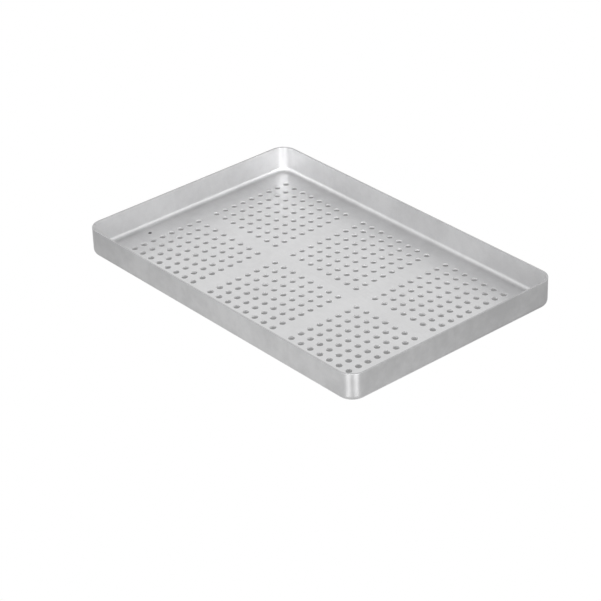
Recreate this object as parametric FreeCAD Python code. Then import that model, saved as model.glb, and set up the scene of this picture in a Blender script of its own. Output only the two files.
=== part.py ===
# Perforated instrument tray for steam sterilization.
# The real tray is one shallow pan drawn from a single sheet of aluminium: a flat floor punched with round
# holes in rectangular blocks, upright walls with a plain cut rim, and a small bend where floor meets wall.
# It is modelled as nine regions of that one sheet, which meet face to face: the floor, the four straight
# walls and the four drawn corners. Walls and corners all come from one section through the sheet.
# Frame: millimetres, +Z up, +X along the long side, origin on the table under the middle of the floor.
import FreeCAD, Part
import math
import os

# Pan
LENGTH = 285.0  # outside, over the long side
WIDTH = 190.0  # outside, over the short side
HEIGHT = 21.5  # from the table to the rim
SHEET = 1.2  # thickness of the sheet, in floor and walls alike
CORNER_RADIUS = 12.0  # outside of the upright corners, seen from above
BEND_RADIUS = 4.5  # outside of the bend between floor and wall
RIM_ROUNDING = 0.3  # deburred edges of the cut rim

# Punched pattern
HOLE_DIAMETER = 3.8
COLUMN_PITCH = 9.65  # from hole to hole along the long side
ROW_PITCH = 8.55  # from hole to hole along the short side
END_BORDER = 21.0  # least plain floor from a short wall's outside to the first column
SIDE_BORDER = 17.0  # least plain floor from a long wall's outside to the first row
BLOCK_COUNT_X = 3  # blocks of holes along the long side
BLOCK_COUNT_Y = 2  # blocks of holes along the short side
SKIPPED_COUNT = 1  # lines of holes left out between two blocks, which makes the plain strip

# Small hole in the plain border near the front left corner, by which the tray hung in the anodising bath
HANG_DIAMETER = 2.4
HANG_FROM_LEFT = 11.0  # from the left wall's outside
HANG_FROM_FRONT = 49.0  # from the front wall's outside

Z_AXIS = FreeCAD.Vector(0, 0, 1)


def sheet_section():
    """The sheet cut across a wall: from the rim down the wall and round the bend to the flat floor.

    It stands in the XZ plane with the outside at X = 0 and the inside of the tray towards +X.
    """
    inside_bend = BEND_RADIUS - SHEET
    slant = math.sqrt(0.5)
    shoulder = HEIGHT - RIM_ROUNDING

    def point(x, z):
        return FreeCAD.Vector(x, 0, z)

    def bend(radius, start, end):
        middle = point(BEND_RADIUS - radius * slant, BEND_RADIUS - radius * slant)
        return Part.Arc(start, middle, end).toShape()

    def rim_edge(x, side, start, end):
        middle = point(x - side * RIM_ROUNDING * (1 - slant), HEIGHT - RIM_ROUNDING * (1 - slant))
        return Part.Arc(start, middle, end).toShape()

    outside = [point(0, BEND_RADIUS), point(0, shoulder), point(RIM_ROUNDING, HEIGHT)]
    inside = [point(SHEET - RIM_ROUNDING, HEIGHT), point(SHEET, shoulder), point(SHEET, BEND_RADIUS)]
    floor_top = point(BEND_RADIUS, SHEET)
    floor_bottom = point(BEND_RADIUS, 0)
    edges = [
        Part.makeLine(outside[0], outside[1]),
        rim_edge(0, -1, outside[1], outside[2]),
        Part.makeLine(outside[2], inside[0]),
        rim_edge(SHEET, 1, inside[0], inside[1]),
        Part.makeLine(inside[1], inside[2]),
        bend(inside_bend, inside[2], floor_top),
        Part.makeLine(floor_top, floor_bottom),
        bend(BEND_RADIUS, floor_bottom, outside[0]),
    ]
    return Part.Face(Part.Wire(edges))


def straight_wall(run):
    """A straight wall of the given run, with its outside on X = 0 and its middle at Y = 0."""
    section = sheet_section().translated(FreeCAD.Vector(0, -run / 2, 0))
    return section.extrude(FreeCAD.Vector(0, run, 0))


def drawn_corner():
    """A quarter turn of the section, as drawn at the corner where X and Y are lowest, from that corner."""
    section = sheet_section().translated(FreeCAD.Vector(0, CORNER_RADIUS, 0))
    axis_foot = FreeCAD.Vector(CORNER_RADIUS, CORNER_RADIUS, 0)
    return section.revolve(axis_foot, Z_AXIS, 90)


def placed(shape, turn, x, y):
    """A copy of a shape turned about the upright axis and then moved over the table."""
    copy = shape.copy()
    copy.Placement = FreeCAD.Placement(FreeCAD.Vector(x, y, 0), FreeCAD.Rotation(Z_AXIS, turn))
    return copy


def walls_and_corners():
    """The eight regions that stand up round the floor, by name."""
    half_length = LENGTH / 2
    half_width = WIDTH / 2
    end_wall = straight_wall(WIDTH - 2 * CORNER_RADIUS)
    side_wall = straight_wall(LENGTH - 2 * CORNER_RADIUS)
    corner = drawn_corner()
    return {
        "left_wall": placed(end_wall, 0, -half_length, 0),
        "front_wall": placed(side_wall, 90, 0, -half_width),
        "right_wall": placed(end_wall, 180, half_length, 0),
        "back_wall": placed(side_wall, 270, 0, half_width),
        "front_left_corner": placed(corner, 0, -half_length, -half_width),
        "front_right_corner": placed(corner, 90, half_length, -half_width),
        "back_right_corner": placed(corner, 180, half_length, half_width),
        "back_left_corner": placed(corner, 270, -half_length, half_width),
    }


def hole_lines(length, border, pitch, blocks):
    """Places of the lines of holes over one side: equal blocks, centred, with a plain strip between them."""
    places_in_reach = math.floor((length - 2 * border) / pitch) + 1
    lines_per_block = (places_in_reach - (blocks - 1) * SKIPPED_COUNT) // blocks
    block_step = (lines_per_block + SKIPPED_COUNT) * pitch
    span = (blocks - 1) * block_step + (lines_per_block - 1) * pitch
    return [
        block * block_step + line * pitch - span / 2
        for block in range(blocks)
        for line in range(lines_per_block)
    ]


def hole_outline(diameter, x, y):
    """The outline of one round hole in the sheet."""
    return Part.Wire(Part.makeCircle(diameter / 2, FreeCAD.Vector(x, y, 0)))


def floor_outline():
    """The edge of the flat floor, where the bend begins: a rectangle with rounded corners."""
    half_length = LENGTH / 2 - BEND_RADIUS
    half_width = WIDTH / 2 - BEND_RADIUS
    radius = CORNER_RADIUS - BEND_RADIUS
    slant = radius * (1 - math.sqrt(0.5))
    edges = []
    corners = [(1, 1), (-1, 1), (-1, -1), (1, -1)]
    for index, (x_side, y_side) in enumerate(corners):
        beside_x = FreeCAD.Vector(x_side * half_length, y_side * (half_width - radius), 0)
        on_arc = FreeCAD.Vector(x_side * (half_length - slant), y_side * (half_width - slant), 0)
        beside_y = FreeCAD.Vector(x_side * (half_length - radius), y_side * half_width, 0)
        start, end = (beside_x, beside_y) if index % 2 == 0 else (beside_y, beside_x)
        if edges:
            edges.append(Part.makeLine(edges[-1].Vertexes[-1].Point, start))
        edges.append(Part.Arc(start, on_arc, end).toShape())
    edges.append(Part.makeLine(edges[-1].Vertexes[-1].Point, edges[0].Vertexes[0].Point))
    return Part.Wire(edges)


def perforated_floor():
    """The flat floor with its blocks of punched holes and the small hanging hole."""
    columns = hole_lines(LENGTH, END_BORDER, COLUMN_PITCH, BLOCK_COUNT_X)
    rows = hole_lines(WIDTH, SIDE_BORDER, ROW_PITCH, BLOCK_COUNT_Y)
    outlines = [floor_outline()]
    outlines += [hole_outline(HOLE_DIAMETER, x, y) for x in columns for y in rows]
    outlines.append(hole_outline(HANG_DIAMETER, HANG_FROM_LEFT - LENGTH / 2, HANG_FROM_FRONT - WIDTH / 2))
    blank = Part.makeFace(outlines, "Part::FaceMakerBullseye")
    return blank.extrude(FreeCAD.Vector(0, 0, SHEET))


def save(name, shape):
    """Writes one region as a STEP file named for its node."""
    assert shape.isValid() and shape.Volume > 0, name
    shape.exportStep(os.path.join("parts", name + ".step"))
    print(name, "solids", len(shape.Solids), "faces", len(shape.Faces), "volume", round(shape.Volume, 1))


os.makedirs("parts", exist_ok=True)
save("perforated_floor", perforated_floor())
for node, region in walls_and_corners().items():
    save(node, region)
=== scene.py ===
"""Looks of the perforated sterilization tray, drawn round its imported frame.

The tray is one sheet of satin anodised aluminium, drawn to a shallow pan and punched with blocks of round
holes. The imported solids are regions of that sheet. This script stands one unbroken skin in their place, with
rounded hole edges and a smooth bend at the foot, and gives each stretch of it its own finish.
"""

import logging
import math
from dataclasses import dataclass, field
from enum import IntEnum

import bpy
from bpy.types import Material, Node, NodeSocket, NodeTree, Object
from mathutils import Matrix, Vector


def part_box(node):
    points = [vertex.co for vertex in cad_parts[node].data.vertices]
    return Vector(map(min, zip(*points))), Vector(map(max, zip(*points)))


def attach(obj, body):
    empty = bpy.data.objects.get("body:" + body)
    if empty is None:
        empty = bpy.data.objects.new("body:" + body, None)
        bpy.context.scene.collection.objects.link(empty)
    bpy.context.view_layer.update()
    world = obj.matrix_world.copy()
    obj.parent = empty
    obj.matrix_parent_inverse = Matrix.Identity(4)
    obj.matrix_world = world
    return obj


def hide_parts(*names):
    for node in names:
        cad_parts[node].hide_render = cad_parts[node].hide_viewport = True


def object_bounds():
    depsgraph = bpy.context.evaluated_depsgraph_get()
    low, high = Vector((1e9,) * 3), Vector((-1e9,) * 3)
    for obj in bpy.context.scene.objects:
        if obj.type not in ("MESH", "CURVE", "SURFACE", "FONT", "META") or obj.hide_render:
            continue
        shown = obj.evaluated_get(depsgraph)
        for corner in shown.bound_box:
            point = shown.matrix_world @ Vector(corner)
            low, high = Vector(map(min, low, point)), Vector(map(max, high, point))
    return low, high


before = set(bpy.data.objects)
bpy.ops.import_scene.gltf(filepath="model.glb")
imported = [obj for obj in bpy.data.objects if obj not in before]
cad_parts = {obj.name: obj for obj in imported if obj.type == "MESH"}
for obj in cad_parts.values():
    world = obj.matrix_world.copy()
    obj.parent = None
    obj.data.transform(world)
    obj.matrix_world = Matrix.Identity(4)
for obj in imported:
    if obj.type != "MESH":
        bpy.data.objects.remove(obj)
CAD_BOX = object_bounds()

LOG = logging.getLogger("tray")
UP = Vector((0.0, 0.0, 1.0))
PHOTO_PIXELS = 601
EDGE_MARK, FOOT_MARK = "edge_mark", "foot_mark"
FLOAT, VECTOR = "NodeSocketFloat", "NodeSocketVector"
Preset = float | tuple[float, float, float]


class Zone(IntEnum):
    """A stretch of the sheet with a finish of its own, in the order of the skin's material slots."""

    FLOOR = 0
    INSIDE = 1
    OUTSIDE = 2
    RIM = 3
    PUNCHED = 4
    UNDERSIDE = 5
    HUNG = 6


@dataclass(frozen=True)
class PanSizes:
    """The pan's form in metres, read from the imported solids."""

    length: float
    width: float
    height: float
    sheet: float
    corner_radius: float
    bend_radius: float

    @classmethod
    def from_frame(cls) -> "PanSizes":
        """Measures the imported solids.

        Returns:
            The sizes that the skin has to keep to.
        """
        low, high = CAD_BOX
        floor_low, floor_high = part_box("perforated_floor")
        corner_low, corner_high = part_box("front_left_corner")
        wall_low, wall_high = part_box("front_wall")
        return cls(
            length=high.x - low.x,
            width=high.y - low.y,
            height=high.z - low.z,
            sheet=floor_high.z - floor_low.z,
            corner_radius=corner_high.x - corner_low.x,
            bend_radius=wall_high.y - wall_low.y,
        )

    @property
    def flat(self) -> tuple[float, float]:
        """Half the length and width of the flat floor, up to where the bend begins."""
        return self.length / 2 - self.bend_radius, self.width / 2 - self.bend_radius

    @property
    def square(self) -> tuple[float, float]:
        """Half the length and width up to where the upright corners begin to turn."""
        return self.length / 2 - self.corner_radius, self.width / 2 - self.corner_radius

    @property
    def floor_radius(self) -> float:
        """Radius of the flat floor's corners, where the bend begins."""
        return self.corner_radius - self.bend_radius


@dataclass(frozen=True)
class HolePattern:
    """The punched blocks of round holes, in metres.

    The holes are as wide as the photograph shows them, and 0.8 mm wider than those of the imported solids. Each
    stands in a cell of its own, which the floor's grid divides into cell_steps each way.
    """

    diameter: float = 0.0046
    column_pitch: float = 0.00965
    row_pitch: float = 0.00855
    columns_per_block: int = 8
    rows_per_block: int = 9
    blocks_along: int = 3
    blocks_across: int = 2
    cell_steps: int = 6

    @staticmethod
    def _cells(pitch: float, lines: int, blocks: int) -> list[tuple[float, bool]]:
        """Lists the cells along one side.

        Args:
            pitch: Distance from hole to hole.
            lines: Lines of holes in a block.
            blocks: Blocks along the side.

        Returns:
            Each cell's centre, and whether it has a hole or lies in the plain strip between blocks.
        """
        holes = ([True] * lines + [False]) * (blocks - 1) + [True] * lines
        middle = (len(holes) - 1) / 2
        return [((index - middle) * pitch, hole) for index, hole in enumerate(holes)]

    def columns(self) -> list[tuple[float, bool]]:
        """Cells along the long side."""
        return self._cells(self.column_pitch, self.columns_per_block, self.blocks_along)

    def rows(self) -> list[tuple[float, bool]]:
        """Cells along the short side."""
        return self._cells(self.row_pitch, self.rows_per_block, self.blocks_across)


@dataclass(frozen=True)
class HangingHole:
    """The small hole in the plain border, by which the tray hung in the anodising bath, in metres.

    Its patch of the floor's grid reaches patch_reach lines each way.
    """

    diameter: float = 0.0024
    from_left: float = 0.011
    from_front: float = 0.049
    patch_reach: int = 2


@dataclass(frozen=True)
class HolePatch:
    """The patch of the floor's grid that one hole takes up, from its first to its last line each way."""

    columns: tuple[int, int]
    rows: tuple[int, int]
    centre: tuple[float, float]
    radius: float
    zone: Zone


@dataclass
class Skin:
    """A closed skin under construction, which welds points that share a place."""

    points: list[Vector] = field(default_factory=list)
    normals: list[Vector] = field(default_factory=list)
    edge_marks: list[float] = field(default_factory=list)
    foot_marks: list[float] = field(default_factory=list)
    faces: list[tuple[int, ...]] = field(default_factory=list)
    zones: list[Zone] = field(default_factory=list)
    places: dict[tuple[int, int, int], int] = field(default_factory=dict)
    weld: float = 1.0e-7

    def point(self, place: Vector, normal: Vector, edge: float = 0.0, foot: float = 0.0) -> int:
        """Adds a point, or finds the one that is already there.

        Args:
            place: Where the point is.
            normal: The surface's direction there.
            edge: How much of a cut or rounded edge the point is, from 0 to 1.
            foot: How near to the foot of a wall it is, from 0 to 1.

        Returns:
            The point's number.
        """
        key = tuple(round(value / self.weld) for value in place)
        if key not in self.places:
            self.places[key] = len(self.points)
            self.points.append(place)
            self.normals.append(normal)
            self.edge_marks.append(edge)
            self.foot_marks.append(foot)
        return self.places[key]

    def face(self, corners: list[int], zone: Zone) -> None:
        """Adds a face, unless its corners have run together.

        Args:
            corners: Numbers of its points, counterclockwise seen from outside the metal.
            zone: The finish that it takes.
        """
        distinct = [corner for index, corner in enumerate(corners) if corner != corners[index - 1]]
        if len(distinct) > 2:
            self.faces.append(tuple(distinct))
            self.zones.append(zone)

    def strip(self, first: list[int], second: list[int], zone: Zone) -> None:
        """Joins two lines of points of the same number with faces.

        Args:
            first: The line on the right of the direction of travel, seen from outside the metal.
            second: The line on the left.
            zone: The finish of the strip.
        """
        for index in range(len(first) - 1):
            self.face([first[index], first[index + 1], second[index + 1], second[index]], zone)

    def to_object(self, name: str, materials: list[Material]) -> Object:
        """Makes the finished mesh.

        Args:
            name: The piece's name.
            materials: One material for each zone, in order.

        Returns:
            The piece, linked to the scene.
        """
        mesh = bpy.data.meshes.new(name)
        mesh.from_pydata([tuple(place) for place in self.points], [], self.faces)
        for material in materials:
            mesh.materials.append(material)
        mesh.polygons.foreach_set("material_index", [int(zone) for zone in self.zones])
        mesh.polygons.foreach_set("use_smooth", [True] * len(self.faces))
        for mark, values in ((EDGE_MARK, self.edge_marks), (FOOT_MARK, self.foot_marks)):
            mesh.attributes.new(mark, "FLOAT", "POINT").data.foreach_set("value", values)
        mesh.validate()
        mesh.normals_split_custom_set_from_vertices([tuple(normal) for normal in self.normals])
        piece = bpy.data.objects.new(name, mesh)
        bpy.context.scene.collection.objects.link(piece)
        return piece


@dataclass(frozen=True)
class SectionPoint:
    """One point of the sheet's section across a wall."""

    out: float
    height: float
    normal_out: float
    normal_up: float
    zone: Zone
    edge: float = 0.0
    foot: float = 0.0


@dataclass(frozen=True)
class WallSection:
    """The sheet cut across a wall, from the floor's top side over the rim to its underside."""

    sizes: PanSizes
    rim_rounding: float = 0.0003
    bend_steps: int = 8
    rim_steps: int = 3
    wall_steps: int = 6

    @staticmethod
    def _arc(middle: tuple[float, float], radius: float, start: float, end: float, steps: int, zone: Zone,
             face_out: float = 1.0, edge: float = 0.0) -> list[SectionPoint]:
        """Lists points along an arc of the section.

        Args:
            middle: The arc's centre, outwards and up.
            radius: The arc's radius.
            start: Its first angle, from straight outwards towards up.
            end: Its last angle.
            steps: Segments that it has.
            zone: The finish of the stretch that ends at each point.
            face_out: 1 where the metal's surface faces away from the centre, -1 where it faces it.
            edge: The edge mark of its points.

        Returns:
            The points, both ends included.
        """
        found = []
        for step in range(steps + 1):
            angle = start + (end - start) * step / steps
            out, up = math.cos(angle), math.sin(angle)
            # The foot mark, which places the painted shade along the foot, fades from 1 at the floor to 0 where
            # the bend has turned up by 60 degrees
            foot = max(0.0, 2 * face_out * up - 1.0) if zone is Zone.INSIDE else 0.0
            found.append(SectionPoint(middle[0] + radius * out, middle[1] + radius * up,
                                      face_out * out, face_out * up, zone, edge, foot))
        return found

    def points(self) -> list[SectionPoint]:
        """Walks the section from the floor's top side to the underside.

        Returns:
            The points in order. Outwards is measured from the line where the bend begins.
        """
        bend = self.sizes.bend_radius
        inside = bend - self.sizes.sheet
        rounding = self.rim_rounding
        shoulder = self.sizes.height - rounding
        quarter = math.pi / 2
        rise = [bend + (shoulder - bend) * step / self.wall_steps for step in range(self.wall_steps + 1)]
        walk = self._arc((0.0, bend), inside, -quarter, 0.0, self.bend_steps, Zone.INSIDE, face_out=-1.0)
        walk += [SectionPoint(inside, height, -1.0, 0.0, Zone.INSIDE) for height in rise[1:]]
        for out, start, end in ((inside + rounding, 2 * quarter, quarter), (bend - rounding, quarter, 0.0)):
            walk += self._arc((out, shoulder), rounding, start, end, self.rim_steps, Zone.RIM, edge=1.0)
        walk += [SectionPoint(bend, height, 1.0, 0.0, Zone.OUTSIDE) for height in rise[-2:0:-1]]
        return walk + self._arc((0.0, bend), bend, 0.0, -quarter, self.bend_steps, Zone.OUTSIDE)


def outward(angle: float) -> Vector:
    """The level unit vector at an angle from +X towards +Y."""
    return Vector((math.cos(angle), math.sin(angle), 0.0))


@dataclass
class DrawnTray:
    """The whole sheet: perforated floor, bend, walls, corners and rim, as one skin."""

    sizes: PanSizes
    pattern: HolePattern
    hanging: HangingHole
    hole_rounding: float = 0.00012
    foot_reach: float = 0.016
    corner_steps: int = 12
    border_steps: int = 5
    name: str = "drawn_tray"
    skin: Skin = field(default_factory=Skin)
    x_lines: list[float] = field(init=False)
    y_lines: list[float] = field(init=False)

    def __post_init__(self) -> None:
        """Lays out the floor's grid lines, along the tray and across it."""
        self.x_lines = self._grid_lines(self.sizes.length, self.pattern.columns(), self.pattern.column_pitch)
        self.y_lines = self._grid_lines(self.sizes.width, self.pattern.rows(), self.pattern.row_pitch)

    def build(self, materials: list[Material]) -> Object:
        """Builds the tray's skin.

        Args:
            materials: One material for each zone.

        Returns:
            The finished piece.
        """
        patches = self._hole_patches()
        self._flat_floor(patches)
        for patch in patches:
            self._punched_hole(patch)
        self._floor_corners()
        self._walls()
        return self.skin.to_object(self.name, materials)

    def dress(self, piece: Object) -> None:
        """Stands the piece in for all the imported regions.

        Args:
            piece: The finished skin.
        """
        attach(piece, "root")
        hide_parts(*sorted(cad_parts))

    def _grid_lines(self, side: float, cells: list[tuple[float, bool]], pitch: float) -> list[float]:
        """Lists the grid lines over one side of the flat floor.

        Args:
            side: The pan's outside over that side.
            cells: The pattern's cells along it.
            pitch: Distance from hole to hole.

        Returns:
            Rising places: the strip by the bend, the plain border, the cells, and the same mirrored.
        """
        steps = self.pattern.cell_steps
        edge = side / 2 - self.sizes.bend_radius
        square = side / 2 - self.sizes.corner_radius
        first = -cells[0][0] + pitch / 2
        border = max(1, round((square - first) / (self.sizes.floor_radius / self.border_steps)))
        half = [edge + (square - edge) * step / self.border_steps for step in range(self.border_steps)]
        half += [square + (first - square) * step / border for step in range(border)]
        cell_lines = [-first + pitch * step / steps for step in range(len(cells) * steps + 1)]
        return [-value for value in half] + cell_lines + list(reversed(half))

    def _hole_patches(self) -> list[HolePatch]:
        """Finds the patch of the grid that each hole takes up.

        Returns:
            The patches, the hanging hole's last.
        """
        pattern, hung = self.pattern, self.hanging
        steps = pattern.cell_steps
        x_first = self._nearest(self.x_lines, pattern.columns()[0][0] - pattern.column_pitch / 2)
        y_first = self._nearest(self.y_lines, pattern.rows()[0][0] - pattern.row_pitch / 2)
        patches = []
        for column, (x, x_hole) in enumerate(pattern.columns()):
            for row, (y, y_hole) in enumerate(pattern.rows()):
                if x_hole and y_hole:
                    left = x_first + column * steps
                    low = y_first + row * steps
                    patches.append(HolePatch((left, left + steps), (low, low + steps), (x, y),
                                             pattern.diameter / 2, Zone.PUNCHED))
        centre = (hung.from_left - self.sizes.length / 2, hung.from_front - self.sizes.width / 2)
        columns, rows = (
            (middle - hung.patch_reach, middle + hung.patch_reach)
            for middle in (self._nearest(self.x_lines, centre[0]), self._nearest(self.y_lines, centre[1]))
        )
        patches.append(HolePatch(columns, rows, centre, hung.diameter / 2, Zone.HUNG))
        return patches

    @staticmethod
    def _nearest(lines: list[float], place: float) -> int:
        """Number of the grid line that is nearest to a place."""
        return min(range(len(lines)), key=lambda index: abs(lines[index] - place))

    def _flat_floor(self, patches: list[HolePatch]) -> None:
        """Lays the plain stretches of the flat floor, top and underside.

        Args:
            patches: The patches that holes take up.
        """
        x_lines, y_lines = self.x_lines, self.y_lines
        taken = set()
        for patch in patches:
            taken.update((i, j) for i in range(*patch.columns) for j in range(*patch.rows))
        square_x, square_y = self.sizes.square
        for i in range(len(x_lines) - 1):
            for j in range(len(y_lines) - 1):
                beside_x = abs(x_lines[i] + x_lines[i + 1]) / 2 > square_x
                beside_y = abs(y_lines[j] + y_lines[j + 1]) / 2 > square_y
                if (i, j) in taken or (beside_x and beside_y):
                    continue
                self._plain([(x_lines[i], y_lines[j]), (x_lines[i + 1], y_lines[j]),
                             (x_lines[i + 1], y_lines[j + 1]), (x_lines[i], y_lines[j + 1])])

    def _plain(self, places: list[tuple[float, float]]) -> None:
        """Lays one plain face of the flat floor, on top and beneath.

        Args:
            places: Its corners, counterclockwise seen from above.
        """
        self.skin.face([self._on_top(x, y) for x, y in places], Zone.FLOOR)
        self.skin.face([self._beneath(x, y) for x, y in reversed(places)], Zone.UNDERSIDE)

    def _on_top(self, x: float, y: float) -> int:
        """Point of the floor's top side."""
        return self.skin.point(Vector((x, y, self.sizes.sheet)), UP, foot=self._near_foot(x, y))

    def _near_foot(self, x: float, y: float) -> float:
        """Tells how near a place on the floor is to the foot of a wall, where the painted shade lies.

        Args:
            x: The place along the tray.
            y: The place across it.

        Returns:
            1 where the bend begins, 0 from foot_reach inwards.
        """
        square_x, square_y = self.sizes.square
        past_x, past_y = abs(x) - square_x, abs(y) - square_y
        beyond = math.hypot(max(past_x, 0.0), max(past_y, 0.0)) + min(max(past_x, past_y), 0.0)
        return max(0.0, 1.0 - (self.sizes.floor_radius - beyond) / self.foot_reach)

    def _beneath(self, x: float, y: float) -> int:
        """Point of the underside."""
        return self.skin.point(Vector((x, y, 0.0)), -UP)

    def _punched_hole(self, patch: HolePatch) -> None:
        """Fills a patch of the grid with a round hole and its rounded edges, top and underside.

        Args:
            patch: The patch.
        """
        xs = self.x_lines[patch.columns[0]:patch.columns[1] + 1]
        ys = self.y_lines[patch.rows[0]:patch.rows[1] + 1]
        outline = [(x, ys[0]) for x in xs[:-1]] + [(xs[-1], y) for y in ys[:-1]]
        outline += [(x, ys[-1]) for x in reversed(xs[1:])] + [(xs[0], y) for y in reversed(ys[1:])]
        turn = 2 * math.pi / len(outline)
        start = -3 * math.pi / 4  # towards the first corner of the outline
        radius, sheet, rounding = patch.radius, self.sizes.sheet, self.hole_rounding
        rings = []
        for reach, height, edge in (
            (radius + rounding, sheet, 0.0),
            (radius, sheet - rounding, 1.0),
            (radius, rounding, 1.0),
            (radius + rounding, 0.0, 0.0),
        ):
            ring = []
            for index in range(len(outline) + 1):
                out = outward(start + index * turn)
                normal = -out if edge else (UP if height else -UP)
                place = Vector((*patch.centre, height)) + out * reach
                foot = self._near_foot(place.x, place.y) if height == sheet else 0.0
                ring.append(self.skin.point(place, normal, edge, foot))
            ring[-1] = ring[0]
            rings.append(ring)
        closed = outline + outline[:1]
        self.skin.strip([self._on_top(x, y) for x, y in closed], rings[0], Zone.FLOOR)
        for upper, lower in zip(rings, rings[1:]):
            self.skin.strip(upper, lower, patch.zone)
        self.skin.strip(rings[-1], [self._beneath(x, y) for x, y in closed], Zone.UNDERSIDE)

    def _turned(self, corner: int) -> tuple[Vector, float]:
        """Finds one of the four upright corners.

        Args:
            corner: Its number, counterclockwise from the right corner at the back.

        Returns:
            Its centre and the angle at which its arc starts.
        """
        x_side, y_side = ((1, 1), (-1, 1), (-1, -1), (1, -1))[corner]
        square_x, square_y = self.sizes.square
        return Vector((x_side * square_x, y_side * square_y, 0.0)), corner * math.pi / 2

    def _floor_corners(self) -> None:
        """Lays the rounded corners of the flat floor, top and underside."""
        step = math.pi / 2 / self.corner_steps
        for corner in range(4):
            centre, start = self._turned(corner)
            for ring in range(self.border_steps):
                inner = self.sizes.floor_radius * ring / self.border_steps
                outer = self.sizes.floor_radius * (ring + 1) / self.border_steps
                for index in range(self.corner_steps):
                    here = outward(start + index * step)
                    there = outward(start + (index + 1) * step)
                    places = [centre + here * inner, centre + here * outer,
                              centre + there * outer, centre + there * inner]
                    self._plain([(place.x, place.y) for place in places])

    def _stations(self) -> list[tuple[Vector, Vector]]:
        """Walks round the floor's edge, where the bend begins.

        Returns:
            Places, and the outward direction at each, counterclockwise from the right corner at the back.
        """
        square_x, square_y = self.sizes.square
        xs = [x for x in self.x_lines if abs(x) < square_x - self.skin.weld]
        ys = [y for y in self.y_lines if abs(y) < square_y - self.skin.weld]
        edge_x, edge_y = self.sizes.flat
        straights = [
            [(Vector((x, edge_y, 0.0)), Vector((0.0, 1.0, 0.0))) for x in reversed(xs)],
            [(Vector((-edge_x, y, 0.0)), Vector((-1.0, 0.0, 0.0))) for y in reversed(ys)],
            [(Vector((x, -edge_y, 0.0)), Vector((0.0, -1.0, 0.0))) for x in xs],
            [(Vector((edge_x, y, 0.0)), Vector((1.0, 0.0, 0.0))) for y in ys],
        ]
        walk = []
        for corner in range(4):
            centre, start = self._turned(corner)
            for index in range(self.corner_steps + 1):
                out = outward(start + math.pi / 2 * index / self.corner_steps)
                walk.append((centre + out * self.sizes.floor_radius, out))
            walk += straights[corner]
        return walk + walk[:1]

    def _walls(self) -> None:
        """Draws the wall's section round the floor."""
        section = WallSection(self.sizes).points()
        walk = self._stations()
        lines = []
        for point in section:
            line = []
            for place, out in walk:
                normal = out * point.normal_out + UP * point.normal_up
                line.append(self.skin.point(place + out * point.out + UP * point.height, normal,
                                            point.edge, point.foot))
            lines.append(line)
        for index in range(1, len(section)):
            self.skin.strip(lines[index], lines[index - 1], section[index].zone)


@dataclass
class Wiring:
    """Adds and joins the nodes of one node tree. In a node group, entry is its input node."""

    tree: NodeTree
    entry: Node | None = None

    def add(self, kind: str, values: dict[str, object] | None = None, **settings: object) -> Node:
        """Adds a node.

        Args:
            kind: The node's type.
            values: What its input sockets are set to, or the sockets that feed them.
            settings: The node's own options.

        Returns:
            The node.
        """
        node = self.tree.nodes.new(kind)
        for name, setting in settings.items():
            setattr(node, name, setting)
        for name, value in (values or {}).items():
            self.feed(value, node.inputs[name])
        return node

    def feed(self, value: object, socket: NodeSocket) -> None:
        """Sets an input socket, or links it where the value is another socket.

        Args:
            value: A number, colour, vector or output socket.
            socket: The input socket.
        """
        if isinstance(value, NodeSocket):
            self.tree.links.new(value, socket)
        else:
            socket.default_value = value

    def given(self, name: str) -> NodeSocket:
        """The socket behind one of the node group's own inputs."""
        return self.entry.outputs[name]

    def math(self, operation: str, first: object, second: object) -> NodeSocket:
        """Works out one sum.

        Args:
            operation: The Math node's operation.
            first: Number or socket.
            second: Number or socket.

        Returns:
            The socket that carries the result.
        """
        node = self.add("ShaderNodeMath", {0: first, 1: second}, operation=operation)
        return node.outputs[0]

    def mixed(self, first: object, second: object, share: float) -> NodeSocket:
        """Mixes two values.

        Args:
            first: Number or socket.
            second: Number or socket.
            share: How much of the mix the second is, from 0 to 1.

        Returns:
            The socket that carries the mix.
        """
        rest = self.math("MULTIPLY", first, 1.0 - share)
        return self.math("ADD", rest, self.math("MULTIPLY", second, share))

    def tone(self, value: object) -> NodeSocket:
        """Turns a value from 0 to 1 into a tone about 1, as strong as the group's contrast says."""
        centred = self.math("SUBTRACT", value, 0.5)
        return self.math("ADD", self.math("MULTIPLY", centred, self.given("Contrast")), 1.0)

    def spread(self, value: object, low: float, high: float, to_low: object = 0.0, to_high: object = 1.0
               ) -> NodeSocket:
        """Stretches a value from one range to another, smoothly and held at the ends.

        Args:
            value: The socket to stretch.
            low: Start of its range.
            high: End of its range.
            to_low: What the start becomes.
            to_high: What the end becomes.

        Returns:
            The socket that carries the result.
        """
        node = self.add("ShaderNodeMapRange", {"Value": value, "From Min": low, "From Max": high,
                                               "To Min": to_low, "To Max": to_high},
                        interpolation_type="SMOOTHSTEP")
        return node.outputs["Result"]

    def noise(self, place: NodeSocket, scale: object, detail: float, roughness: float) -> NodeSocket:
        """Samples noise from 0 to 1.

        Args:
            place: The place on the tray.
            scale: Waves to the metre.
            detail: Finer layers that are added.
            roughness: How strongly they are added.

        Returns:
            The noise.
        """
        node = self.add("ShaderNodeTexNoise", {"Vector": place, "Scale": scale, "Detail": detail,
                                               "Roughness": roughness})
        return node.outputs[0]

    def vector(self, operation: str, first: object, second: object) -> NodeSocket:
        """Works out one sum with vectors.

        Args:
            operation: The Vector Math node's operation.
            first: Vector or socket.
            second: Vector or socket.

        Returns:
            The socket that carries the result, which is a number for a distance or a dot product.
        """
        node = self.add("ShaderNodeVectorMath", {0: first, 1: second}, operation=operation)
        return node.outputs["Value" if operation in ("DISTANCE", "DOT_PRODUCT") else "Vector"]


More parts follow.
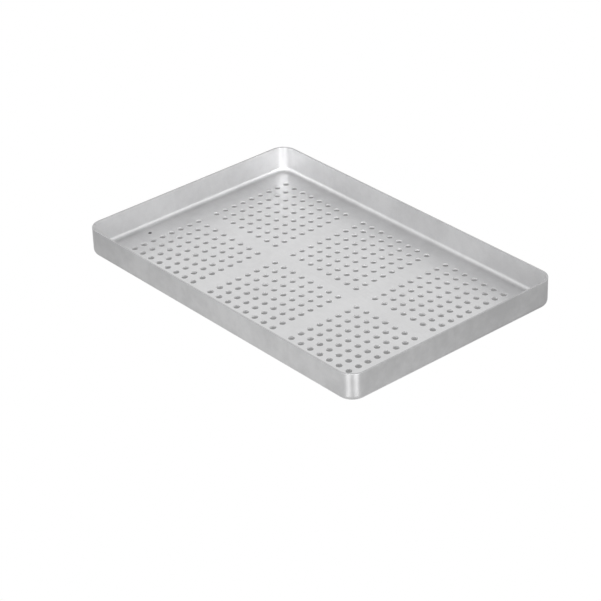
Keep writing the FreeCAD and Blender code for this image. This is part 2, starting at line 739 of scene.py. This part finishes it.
@dataclass(frozen=True)
class Effect:
    """A surface effect that several finishes share, kept as a shader node group.

    Each input has a preset, which is a number or a vector. Each output is a value that varies.
    """

    name: str
    inputs: tuple[tuple[str, Preset], ...]
    outputs: tuple[str, ...]

    def group(self) -> NodeTree:
        """Builds the effect's node group, or finds the one that is already there.

        Returns:
            The node group.
        """
        if self.name in bpy.data.node_groups:
            return bpy.data.node_groups[self.name]
        tree = bpy.data.node_groups.new(self.name, "ShaderNodeTree")
        tree.interface.new_socket(name="Place", in_out="INPUT", socket_type=VECTOR)
        for name, preset in self.inputs:
            kind = VECTOR if isinstance(preset, tuple) else FLOAT
            tree.interface.new_socket(name=name, in_out="INPUT", socket_type=kind).default_value = preset
        for name in self.outputs:
            tree.interface.new_socket(name=name, in_out="OUTPUT", socket_type=FLOAT)
        wiring = Wiring(tree, tree.nodes.new("NodeGroupInput"))
        results = self.wire(wiring)
        wiring.add("NodeGroupOutput", results)
        return tree

    def wire(self, wiring: Wiring) -> dict[str, NodeSocket]:
        """Wires the effect. Each effect has its own.

        Args:
            wiring: The group's tree.

        Returns:
            The socket behind each output.
        """
        raise NotImplementedError(self.name)

    def place_in(self, wiring: Wiring, place: NodeSocket, **values: Preset) -> Node:
        """Places the effect in a material.

        Args:
            wiring: The material's tree.
            place: The place on the tray.
            values: What its other inputs are set to.

        Returns:
            The group node.
        """
        return wiring.add("ShaderNodeGroup", {"Place": place, **values}, node_tree=self.group())


@dataclass(frozen=True)
class SatinGrain(Effect):
    """The fine matt grain that etching leaves before the metal is anodised."""

    coarse_scale: float = 0.22
    coarse_share: float = 0.4

    def wire(self, wiring: Wiring) -> dict[str, NodeSocket]:
        """Mixes a fine and a coarser noise.

        Args:
            wiring: The group's tree.

        Returns:
            Height of the grain, and its tone about 1.
        """
        fine = wiring.noise(wiring.given("Place"), wiring.given("Fineness"), detail=3.0, roughness=0.6)
        coarse_scale = wiring.math("MULTIPLY", wiring.given("Fineness"), self.coarse_scale)
        coarse = wiring.noise(wiring.given("Place"), coarse_scale, detail=2.0, roughness=0.5)
        both = wiring.mixed(fine, coarse, self.coarse_share)
        return {"Height": both, "Tone": wiring.tone(both)}


@dataclass(frozen=True)
class CloudyTone(Effect):
    """Soft patches of paler and darker metal, a few millimetres to a few centimetres wide."""

    small_scale: float = 5.5
    small_share: float = 0.45
    patch_range: tuple[float, float] = (0.32, 0.68)

    def wire(self, wiring: Wiring) -> dict[str, NodeSocket]:
        """Mixes two sizes of patch.

        Args:
            wiring: The group's tree.

        Returns:
            A tone about 1, and the patches as a mask from 0 to 1.
        """
        wide = wiring.noise(wiring.given("Place"), wiring.given("Scale"), detail=2.0, roughness=0.5)
        small_scale = wiring.math("MULTIPLY", wiring.given("Scale"), self.small_scale)
        small = wiring.noise(wiring.given("Place"), small_scale, detail=4.0, roughness=0.6)
        mask = wiring.spread(wiring.mixed(wide, small, self.small_share), *self.patch_range)
        return {"Tone": wiring.tone(mask), "Mask": mask}


@dataclass(frozen=True)
class DrawLines(Effect):
    """Faint parallel lines: rolled into the sheet, or rubbed by the die where the wall was drawn."""

    line_range: tuple[float, float] = (0.3, 0.7)

    def wire(self, wiring: Wiring) -> dict[str, NodeSocket]:
        """Stretches noise along the lines.

        Args:
            wiring: The group's tree.

        Returns:
            Height of the lines, and their tone about 1.
        """
        along = wiring.vector("MULTIPLY", wiring.given("Place"), wiring.given("Stretch"))
        lines = wiring.noise(along, scale=1.0, detail=3.0, roughness=0.65)
        height = wiring.spread(lines, *self.line_range)
        return {"Height": height, "Tone": wiring.tone(height)}


@dataclass(frozen=True)
class HandlingMarks(Effect):
    """Sparse hairline scratches, two ways across each other, from instruments and from stacking."""

    turns: tuple[float, float] = (0.6, 2.2)
    stretch: tuple[float, float, float] = (900.0, 14.0, 60.0)
    hairline_range: tuple[float, float] = (0.735, 0.78)
    patch_scale: float = 28.0
    patch_range: tuple[float, float] = (0.45, 0.6)

    def wire(self, wiring: Wiring) -> dict[str, NodeSocket]:
        """Cuts thin lines out of stretched noise and breaks them up.

        Args:
            wiring: The group's tree.

        Returns:
            The marks as a mask from 0 to 1.
        """
        marks = []
        for turn in self.turns:
            turned = wiring.add("ShaderNodeVectorRotate", {"Vector": wiring.given("Place"), "Angle": turn},
                                rotation_type="Z_AXIS")
            along = wiring.vector("MULTIPLY", turned.outputs[0], self.stretch)
            line = wiring.noise(along, scale=1.0, detail=1.0, roughness=0.4)
            marks.append(wiring.spread(line, *self.hairline_range))
        both = wiring.math("MAXIMUM", *marks)
        patches = wiring.noise(wiring.given("Place"), self.patch_scale, detail=2.0, roughness=0.5)
        share = wiring.spread(patches, *self.patch_range, 0.0, wiring.given("Amount"))
        return {"Mask": wiring.math("MULTIPLY", both, share)}


@dataclass(frozen=True)
class MarkedPatches(Effect):
    """An effect that one of the skin's marks places: worn cut edges with a painted highlight, or painted shade
    along the foot of the walls.
    """

    mark: str = EDGE_MARK
    patch_scale: float = 420.0
    patch_roughness: float = 0.6
    patch_range: tuple[float, float] = (0.35, 0.65)
    least_share: float = 0.35

    def wire(self, wiring: Wiring) -> dict[str, NodeSocket]:
        """Breaks the skin's mark up with noise.

        Args:
            wiring: The group's tree.

        Returns:
            The effect as a mask from 0 to 1.
        """
        mark = wiring.add("ShaderNodeAttribute", attribute_name=self.mark)
        patches = wiring.noise(wiring.given("Place"), self.patch_scale, detail=3.0,
                               roughness=self.patch_roughness)
        share = wiring.spread(patches, *self.patch_range, self.least_share, 1.0)
        broken = wiring.math("MULTIPLY", mark.outputs["Fac"], share)
        return {"Mask": wiring.math("MULTIPLY", broken, wiring.given("Amount"))}


SATIN_GRAIN = SatinGrain("satin_grain", (("Fineness", 4000.0), ("Contrast", 0.1)), ("Height", "Tone"))
CLOUDY_TONE = CloudyTone("cloudy_tone", (("Scale", 30.0), ("Contrast", 0.05)), ("Tone", "Mask"))
DRAW_LINES = DrawLines("draw_lines", (("Stretch", (1.0, 1.0, 1.0)), ("Contrast", 0.05)), ("Height", "Tone"))
HANDLING_MARKS = HandlingMarks("handling_marks", (("Amount", 0.3),), ("Mask",))
# Worn rim and hole edges, paler and smoother: partly real wear, partly a painted edge highlight
EDGE_WEAR_AND_HIGHLIGHT = MarkedPatches("edge_wear_and_highlight", (("Amount", 0.5),), ("Mask",))
# Painted shade: darkens the floor next to the foot of each wall, and the bottom of the bend, where shade falls
PAINTED_FOOT_SHADE = MarkedPatches("painted_foot_shade", (("Amount", 0.2),), ("Mask",), mark=FOOT_MARK, patch_scale=45.0,
                          patch_roughness=0.5, patch_range=(0.3, 0.7), least_share=0.85)


@dataclass(frozen=True)
class Layers:
    """The shared effects as one material has them."""

    grain: Node
    cloud: Node
    lines: Node
    marks: Node
    # Worn edges, paler partly from wear and partly as a painted highlight
    wear_and_highlight: Node
    # Painted shade along the foot of the walls
    foot_shade: Node


@dataclass(frozen=True)
class SatinAluminium:
    """Clear anodised aluminium with a satin etch, as one zone of the sheet shows it."""

    name: str
    color: tuple[float, float, float]
    roughness: float
    line_stretch: tuple[float, float, float]
    cloud_contrast: float = 0.06
    line_contrast: float = 0.03
    grain_contrast: float = 0.10
    marks: float = 0.25
    # How strongly the worn edges are paler and smoother, partly as wear and partly as a painted edge highlight
    wear_and_highlight: float = 0.0
    # How strongly the painted shade along the foot of the walls darkens the colour
    foot_shade: float = 0.0
    brushed: float = 0.0
    brush_turn: float = 0.25
    worn_paler_and_highlight: float = 0.12
    worn_smoother: float = 0.10
    marks_rougher: float = 0.12
    roughness_swing: float = 0.02
    line_relief: float = 0.4
    mark_relief: float = 0.8
    bump: float = 0.25
    bump_depth: float = 0.00002

    def make(self) -> Material:
        """Builds the finish's material.

        Returns:
            The material.
        """
        material = bpy.data.materials.new(self.name)
        material.use_nodes = True
        wiring = Wiring(material.node_tree)
        wiring.tree.nodes.clear()
        place = wiring.add("ShaderNodeTexCoord").outputs["Object"]
        layers = Layers(
            grain=SATIN_GRAIN.place_in(wiring, place, Contrast=self.grain_contrast),
            cloud=CLOUDY_TONE.place_in(wiring, place, Contrast=self.cloud_contrast),
            lines=DRAW_LINES.place_in(wiring, place, Stretch=self.line_stretch, Contrast=self.line_contrast),
            marks=HANDLING_MARKS.place_in(wiring, place, Amount=self.marks),
            wear_and_highlight=EDGE_WEAR_AND_HIGHLIGHT.place_in(wiring, place, Amount=self.wear_and_highlight),
            foot_shade=PAINTED_FOOT_SHADE.place_in(wiring, place, Amount=self.foot_shade),
        )
        inputs = {"Metallic": 1.0, "Base Color": self._color(wiring, layers),
                  "Roughness": self._roughness(wiring, layers), "Normal": self._relief(wiring, layers)}
        if self.brushed:
            round_the_pan = wiring.add("ShaderNodeTangent", direction_type="RADIAL", axis="Z")
            inputs |= {"Tangent": round_the_pan.outputs["Tangent"], "Anisotropic": self.brushed,
                       "Anisotropic Rotation": self.brush_turn}
        surface = wiring.add("ShaderNodeBsdfPrincipled", inputs)
        wiring.add("ShaderNodeOutputMaterial", {"Surface": surface.outputs["BSDF"]})
        return material

    def _color(self, wiring: Wiring, layers: Layers) -> NodeSocket:
        """Varies the metal's colour, with a painted highlight on worn edges and painted shade along the foot of
        the walls.

        Args:
            wiring: The material's tree.
            layers: Its effects.

        Returns:
            The colour.
        """
        tone = wiring.math("MULTIPLY", layers.grain.outputs["Tone"], layers.cloud.outputs["Tone"])
        tone = wiring.math("MULTIPLY", tone, layers.lines.outputs["Tone"])
        # Paler worn edges: partly wear, partly a painted edge highlight
        tone = wiring.math("ADD", tone, wiring.math("MULTIPLY", layers.wear_and_highlight.outputs["Mask"], self.worn_paler_and_highlight))
        # Painted shade along the foot of the walls darkens the colour
        tone = wiring.math("SUBTRACT", tone, layers.foot_shade.outputs["Mask"])
        toned = wiring.add("ShaderNodeVectorMath", {0: self.color, "Scale": tone}, operation="SCALE")
        return toned.outputs[0]

    def _roughness(self, wiring: Wiring, layers: Layers) -> NodeSocket:
        """Varies the metal's roughness.

        Args:
            wiring: The material's tree.
            layers: Its effects.

        Returns:
            The roughness.
        """
        value = wiring.spread(layers.cloud.outputs["Mask"], 0.0, 1.0, self.roughness - self.roughness_swing,
                              self.roughness + self.roughness_swing)
        rougher = wiring.math("MULTIPLY", layers.marks.outputs["Mask"], self.marks_rougher)
        smoother = wiring.math("MULTIPLY", layers.wear_and_highlight.outputs["Mask"], self.worn_smoother)
        return wiring.math("SUBTRACT", wiring.math("ADD", value, rougher), smoother)

    def _relief(self, wiring: Wiring, layers: Layers) -> NodeSocket:
        """Raises the fine relief.

        Args:
            wiring: The material's tree.
            layers: Its effects.

        Returns:
            The bumped normal.
        """
        lines = wiring.math("MULTIPLY", layers.lines.outputs["Height"], self.line_relief)
        marks = wiring.math("MULTIPLY", layers.marks.outputs["Mask"], self.mark_relief)
        height = wiring.math("SUBTRACT", wiring.math("ADD", layers.grain.outputs["Height"], lines), marks)
        bump = wiring.add("ShaderNodeBump", {"Strength": self.bump, "Distance": self.bump_depth,
                                             "Height": height})
        return bump.outputs["Normal"]


# Base colours of the metal; the inside, rim and hole-wall colours also carry painted light or shade
METAL = (0.70, 0.70, 0.705)
# Painted light: the inside of the pan takes a paler copy of the same metal, for the light that falls inside it
INSIDE_PAINTED_LIGHT_METAL = (0.74, 0.74, 0.745)
# Painted shade: the rim takes a darker copy of the metal, which holds down the lamps' highlight on it
RIM_PAINTED_SHADE_METAL = (0.56, 0.56, 0.565)
# Painted shade: the small hanging hole's wall is nearly black, for the shade inside the hole
HOLE_PAINTED_SHADE_METAL = (0.10, 0.10, 0.10)
# Paler hole walls: partly the sheared metal, partly painted light from beneath the tray
SHEARED_AND_PAINTED_LIGHT_METAL = (0.84, 0.84, 0.845)

# Waves to the metre of the faint lines, along X, Y and Z
ROLLED = (9.0, 1400.0, 1400.0)
DRAWN = (900.0, 900.0, 12.0)
PUNCHED = (2500.0, 2500.0, 300.0)

FINISHES = {
    # The floor and the inside take painted shade along the foot of the walls
    Zone.FLOOR: SatinAluminium("satin_floor", METAL, 0.36, ROLLED, cloud_contrast=0.10, foot_shade=0.20),
    # The inside takes a paler copy of the metal, as painted light
    Zone.INSIDE: SatinAluminium("satin_inner_wall", INSIDE_PAINTED_LIGHT_METAL, 0.50, DRAWN, cloud_contrast=0.10,
                                line_contrast=0.01, foot_shade=0.20, brushed=0.2),
    Zone.OUTSIDE: SatinAluminium("satin_outer_wall", METAL, 0.40, DRAWN, cloud_contrast=0.14,
                                 line_contrast=0.01, brushed=0.8),
    # The rim takes a darker copy of the metal, as painted shade
    Zone.RIM: SatinAluminium("cut_rim", RIM_PAINTED_SHADE_METAL, 0.52, ROLLED, wear_and_highlight=0.05),
    # The hole walls are paler, partly as painted light
    Zone.PUNCHED: SatinAluminium("punched_hole_wall", SHEARED_AND_PAINTED_LIGHT_METAL, 0.75, PUNCHED, line_contrast=0.10,
                                 wear_and_highlight=0.1, marks=0.0),
    Zone.UNDERSIDE: SatinAluminium("satin_underside", METAL, 0.42, ROLLED, marks=0.5),
    # The hanging hole's wall takes painted shade
    Zone.HUNG: SatinAluminium("hanging_hole_wall", HOLE_PAINTED_SHADE_METAL, 0.60, PUNCHED, line_contrast=0.10,
                              marks=0.0),
}


def direction(azimuth: float, elevation: float) -> Vector:
    """The direction from the tray towards a camera or lamp.

    Args:
        azimuth: Degrees about the upright axis, 0 for a camera that looks along +Y.
        elevation: Degrees above the table.

    Returns:
        The unit vector.
    """
    a, e = math.radians(azimuth), math.radians(elevation)
    return Vector((math.sin(a) * math.cos(e), -math.cos(a) * math.cos(e), math.sin(e)))


@dataclass(frozen=True)
class PhotoCamera:
    """The photograph's camera, found by fitting the tray's rim, foot and holes."""

    azimuth: float = 49.7252
    elevation: float = 30.2793
    roll: float = -1.7587
    aim: tuple[float, float, float] = (0.002603, -0.016586, -0.011584)
    distance: float = 1.6199
    focal_pixels: float = 2291.5
    sensor: float = 36.0

    def build(self) -> None:
        """Makes the camera and gives it to the scene."""
        data = bpy.data.cameras.new("photo_camera")
        data.sensor_width = self.sensor
        data.lens = self.focal_pixels / PHOTO_PIXELS * self.sensor
        camera = bpy.data.objects.new("photo_camera", data)
        bpy.context.scene.collection.objects.link(camera)
        back = direction(self.azimuth, self.elevation)
        level = UP.cross(back).normalized()
        upright = back.cross(level)
        roll = math.radians(self.roll)
        right = level * math.cos(roll) + upright * math.sin(roll)
        top = upright * math.cos(roll) - level * math.sin(roll)
        turn = Matrix((right, top, back)).transposed()
        camera.matrix_world = Matrix.Translation(Vector(self.aim) + back * self.distance) @ turn.to_4x4()
        bpy.context.scene.camera = camera


@dataclass(frozen=True)
class SoftBox:
    """A soft studio lamp that faces the tray."""

    name: str
    azimuth: float
    elevation: float
    distance: float
    width: float
    height: float
    radiance: float

    def build(self) -> None:
        """Hangs the lamp."""
        data = bpy.data.lights.new(self.name, "AREA")
        data.shape = "RECTANGLE"
        data.size = self.width
        data.size_y = self.height
        data.energy = self.radiance * math.pi * self.width * self.height
        lamp = bpy.data.objects.new(self.name, data)
        bpy.context.scene.collection.objects.link(lamp)
        towards = direction(self.azimuth, self.elevation)
        lamp.location = towards * self.distance
        lamp.rotation_euler = towards.to_track_quat("Z", "Y").to_euler()
        lamp.visible_camera = False


@dataclass(frozen=True)
class LightPool:
    """A soft round patch of light on the floor, which only the metal's reflections show."""

    centre: tuple[float, float]
    radius: float
    glow: float


@dataclass(frozen=True)
class Studio:
    """A plain pale floor and soft light. A shallow well under the tray keeps the holes dark."""

    camera_azimuth: float
    sizes: PanSizes
    pool: LightPool = LightPool(centre=(0.05, -0.17), radius=0.30, glow=0.26)
    floor_side: float = 12.0
    floor_seen: float = 1.0
    floor_reflected: float = 0.45
    well_border: float = 0.006
    well_depth: float = 0.025
    well_glow: float = 0.28
    sky_behind: float = 1.1
    sky_before: float = 1.2
    sky_overhead: float = 0.35
    overhead_range: tuple[float, float] = (0.45, 0.95)

    def build(self) -> None:
        """Sets up the floor, the sky and the lamps."""
        self._floor()
        self._sky()
        for lamp in self.lamps():
            lamp.build()
        bpy.context.scene.view_settings.view_transform = "Standard"

    def lamps(self) -> list[SoftBox]:
        """Sets the lamps out.

        Returns:
            A low lamp on each side of the camera, and a wide weak one above it.
        """
        low_pair = [SoftBox(name, self.camera_azimuth + turn, elevation=14.0, distance=1.8, width=0.6,
                            height=0.6, radiance=9.2)
                    for name, turn in (("left_front_softbox", -22.0), ("right_front_softbox", 22.0))]
        return low_pair + [SoftBox("front_fill_softbox", self.camera_azimuth, elevation=38.0, distance=2.2,
                                   width=1.6, height=0.8, radiance=1.2)]

    def _floor(self) -> None:
        """Lays the floor round the well, and the well's sides and bottom."""
        far, well = (
            [(x * x_reach, y * y_reach) for x, y in ((-1, -1), (1, -1), (1, 1), (-1, 1))]
            for x_reach, y_reach in (
                (self.floor_side / 2, self.floor_side / 2),
                (self.sizes.length / 2 - self.well_border, self.sizes.width / 2 - self.well_border),
            )
        )
        points = [(x, y, 0.0) for x, y in far + well] + [(x, y, -self.well_depth) for x, y in well]
        mesh = bpy.data.meshes.new("studio_floor")
        around = [(side, (side + 1) % 4, 4 + (side + 1) % 4, 4 + side) for side in range(4)]
        in_well = [(4 + side, 4 + (side + 1) % 4, 8 + (side + 1) % 4, 8 + side) for side in range(4)]
        in_well.append((8, 9, 10, 11))
        mesh.from_pydata(points, [], around + in_well)
        for material in self._papers():
            mesh.materials.append(material)
        mesh.polygons.foreach_set("material_index", [0] * len(around) + [1] * len(in_well))
        floor = bpy.data.objects.new("studio_floor", mesh)
        bpy.context.scene.collection.objects.link(floor)

    @staticmethod
    def _emitter(name: str) -> tuple[Material, Wiring, NodeSocket]:
        """Makes a material that glows.

        Args:
            name: The material's name.

        Returns:
            The material, its wiring and the socket for its strength.
        """
        material = bpy.data.materials.new(name)
        material.use_nodes = True
        wiring = Wiring(material.node_tree)
        wiring.tree.nodes.clear()
        paper = wiring.add("ShaderNodeEmission")
        wiring.add("ShaderNodeOutputMaterial", {"Surface": paper.outputs["Emission"]})
        return material, wiring, paper.inputs["Strength"]

    def _papers(self) -> tuple[Material, Material]:
        """Makes the pale paper, lit from below, and the paper in the well, in the tray's shade.

        Returns:
            The paper, white to the camera and less bright in the metal's reflections, and the shaded one.
        """
        glowing, wiring, strength = self._emitter("glowing_paper")
        place = wiring.add("ShaderNodeTexCoord").outputs["Object"]
        away = wiring.vector("DISTANCE", place, (*self.pool.centre, 0.0))
        glow = wiring.spread(away, 0.0, self.pool.radius, self.pool.glow, 0.0)
        reflected = wiring.math("ADD", self.floor_reflected, glow)
        seen = wiring.add("ShaderNodeLightPath").outputs["Is Camera Ray"]
        wiring.feed(wiring.spread(seen, 0.0, 1.0, reflected, self.floor_seen), strength)
        shaded, _, strength = self._emitter("shaded_paper")
        strength.default_value = self.well_glow
        return glowing, shaded

    def _sky(self) -> None:
        """Lights the tray softly from all round, more from the camera's side and less from overhead."""
        world = bpy.data.worlds.new("soft_room")
        world.use_nodes = True
        bpy.context.scene.world = world
        wiring = Wiring(world.node_tree)
        wiring.tree.nodes.clear()
        towards = wiring.add("ShaderNodeTexCoord").outputs["Generated"]
        before = wiring.vector("DOT_PRODUCT", towards, direction(self.camera_azimuth, 0.0))
        around = wiring.spread(before, -1.0, 1.0, self.sky_behind, self.sky_before)
        up = wiring.vector("DOT_PRODUCT", towards, UP)
        share = wiring.spread(up, *self.overhead_range, 1.0, self.sky_overhead)
        glow = wiring.math("MULTIPLY", around, share)
        room = wiring.add("ShaderNodeBackground", {"Color": (1.0, 1.0, 1.0, 1.0), "Strength": glow})
        wiring.add("ShaderNodeOutputWorld", {"Surface": room.outputs["Background"]})


def main() -> None:
    """Builds the camera, the tray and the studio, in that order."""
    logging.basicConfig(level=logging.INFO, format="%(name)s: %(message)s")
    camera = PhotoCamera()
    camera.build()
    sizes = PanSizes.from_frame()
    tray = DrawnTray(sizes, HolePattern(), HangingHole())
    piece = tray.build([FINISHES[zone].make() for zone in Zone])
    tray.dress(piece)
    LOG.info("%s: %d points, %d faces", piece.name, len(piece.data.vertices), len(piece.data.polygons))
    Studio(camera.azimuth, sizes).build()


if __name__ == "__main__":
    main()
